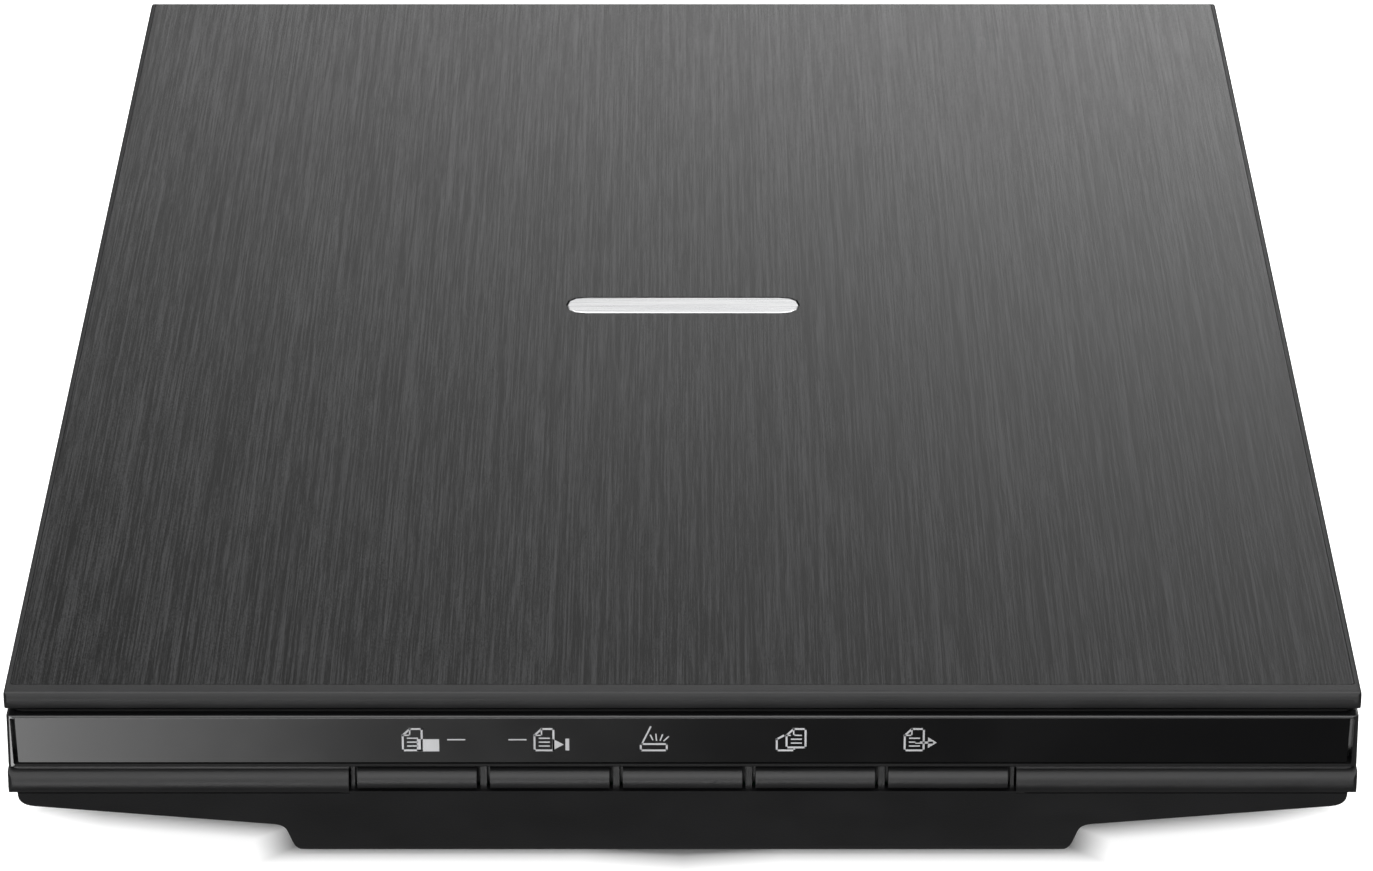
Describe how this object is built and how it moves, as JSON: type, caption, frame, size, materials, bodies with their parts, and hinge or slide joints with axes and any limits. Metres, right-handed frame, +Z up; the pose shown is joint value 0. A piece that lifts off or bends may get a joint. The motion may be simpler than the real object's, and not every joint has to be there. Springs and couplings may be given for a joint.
{
  "type": "flatbed scanner",
  "caption": "Slim A4 flatbed scanner: brushed black hinged lid over a glass platen, glossy front strip, row of push buttons, narrow tub below.",
  "frame": {"origin": "centre of the scanner in plan, on the surface its four feet stand on", "axes": "+X to the right seen from the front, +Y towards the hinge side at the back, +Z up"},
  "size_m": [0.25, 0.367, 0.042],
  "materials": {
    "brushed_lid": "satin black plastic with a fine hairline brush running front to back",
    "lid_shell": "fine moulded matte texture on the lid tray",
    "black_shell": "fine moulded matte texture",
    "bezel_black": "semi-gloss black",
    "gloss_panel": "piano black gloss",
    "button_black": "semi-gloss black",
    "lid_white": "matte white film",
    "foam": "fine closed-cell foam",
    "badge_silver": "satin silver",
    "steel": "zinc plated or ground",
    "glass": "clear polished float glass",
    "clear_guide": "clear moulded acrylic",
    "white_strip": "flat white film",
    "label_grey": "satin polyester label without lettering",
    "black_part": "glass-filled black nylon",
    "gear_white": "natural acetal",
    "bronze": "sintered",
    "board_green": "solder-masked circuit board",
    "rubber": "matte moulded rubber",
    "ribbon": "satin white flat cable"
  },
  "bodies": {
    "base": {"lower_housing": "black_shell", "upper_housing": "bezel_black", "platen_glass": "glass", "glass_tape": "black_part", "calibration_strip": "white_strip", "front_panel": "gloss_panel", "button_board": "board_green", "tact_switch_1": "black_part", "tact_switch_2": "black_part", "tact_switch_3": "black_part", "tact_switch_4": "black_part", "tact_switch_5": "black_part", "foot_1": "rubber", "foot_2": "rubber", "foot_3": "rubber", "foot_4": "rubber", "case_screw_1": "steel", "case_screw_2": "steel", "case_screw_3": "steel", "case_screw_4": "steel", "rating_label": "label_grey", "guide_shaft": "steel", "shaft_clip_front": "steel", "shaft_clip_rear": "steel", "drive_rack": "gear_white", "main_board": "board_green", "usb_port": "steel", "flat_cable": "ribbon"},
    "hinge_posts": {"hinge_post_left": "black_shell", "hinge_post_right": "black_shell"},
    "lid": {"lid_top_cover": "lid_shell", "lid_skin": "brushed_lid", "lid_inner_frame": "black_part", "pad_foam": "foam", "backing_sheet": "lid_white", "lid_badge": "badge_silver", "hinge_pin_left": "steel", "hinge_pin_right": "steel"},
    "carriage": {"carriage_frame": "black_part", "shaft_bush_front": "bronze", "shaft_bush_rear": "bronze", "cis_housing": "black_part", "sensor_board": "board_green", "rod_lens_array": "black_part", "light_guide": "clear_guide", "cis_cover_glass": "glass", "slider_left": "gear_white", "slider_right": "gear_white", "lift_spring_left": "steel", "lift_spring_right": "steel", "drive_motor": "steel"},
    "button_1_body": {"button_1": "button_black"},
    "button_2_body": {"button_2": "button_black"},
    "button_3_body": {"button_3": "button_black"},
    "button_4_body": {"button_4": "button_black"},
    "button_5_body": {"button_5": "button_black"},
    "motor_pinion_body": {"motor_pinion": "bronze"},
    "idler_gear_body": {"idler_gear": "gear_white"},
    "rack_gear_body": {"rack_gear": "gear_white"}
  },
  "joints": [
    {"name": "hinge_lift", "type": "slide", "parent": "base", "child": "hinge_posts", "axis": [0, 0, 1], "range_m": [0, 0.012]},
    {"name": "lid_hinge", "type": "hinge", "parent": "hinge_posts", "child": "lid", "pos_m": [0, 0.179, 0.0386], "axis": [-1, 0, 0], "range_deg": [0, 100]},
    {"name": "button_1_press", "type": "slide", "parent": "base", "child": "button_1_body", "axis": [0, 1, 0], "range_m": [0, 0.0008], "stiffness_N_per_m": 400, "springref_m": -0.002},
    {"name": "button_2_press", "type": "slide", "parent": "base", "child": "button_2_body", "axis": [0, 1, 0], "range_m": [0, 0.0008], "stiffness_N_per_m": 400, "springref_m": -0.002},
    {"name": "button_3_press", "type": "slide", "parent": "base", "child": "button_3_body", "axis": [0, 1, 0], "range_m": [0, 0.0008], "stiffness_N_per_m": 400, "springref_m": -0.002},
    {"name": "button_4_press", "type": "slide", "parent": "base", "child": "button_4_body", "axis": [0, 1, 0], "range_m": [0, 0.0008], "stiffness_N_per_m": 400, "springref_m": -0.002},
    {"name": "button_5_press", "type": "slide", "parent": "base", "child": "button_5_body", "axis": [0, 1, 0], "range_m": [0, 0.0008], "stiffness_N_per_m": 400, "springref_m": -0.002},
    {"name": "carriage_travel", "type": "slide", "parent": "base", "child": "carriage", "axis": [0, 1, 0], "range_m": [0, 0.303], "deforming": ["flat_cable"]},
    {"name": "motor_pinion_spin", "type": "hinge", "parent": "carriage", "child": "motor_pinion_body", "pos_m": [-0.0444, -0.1515, 0.012], "axis": [0, 0, 1], "continuous": true},
    {"name": "idler_gear_spin", "type": "hinge", "parent": "carriage", "child": "idler_gear_body", "pos_m": [-0.0287, -0.1515, 0.012], "axis": [0, 0, 1], "continuous": true},
    {"name": "rack_gear_spin", "type": "hinge", "parent": "carriage", "child": "rack_gear_body", "pos_m": [-0.0136, -0.1515, 0.012], "axis": [0, 0, 1], "continuous": true}
  ],
  "couplings": [
    {"joint": "rack_gear_spin", "follows": "carriage_travel", "rad_per_m": -178.57},
    {"joint": "idler_gear_spin", "follows": "carriage_travel", "rad_per_m": 459.18},
    {"joint": "motor_pinion_spin", "follows": "carriage_travel", "rad_per_m": -1530.6}
  ]
}
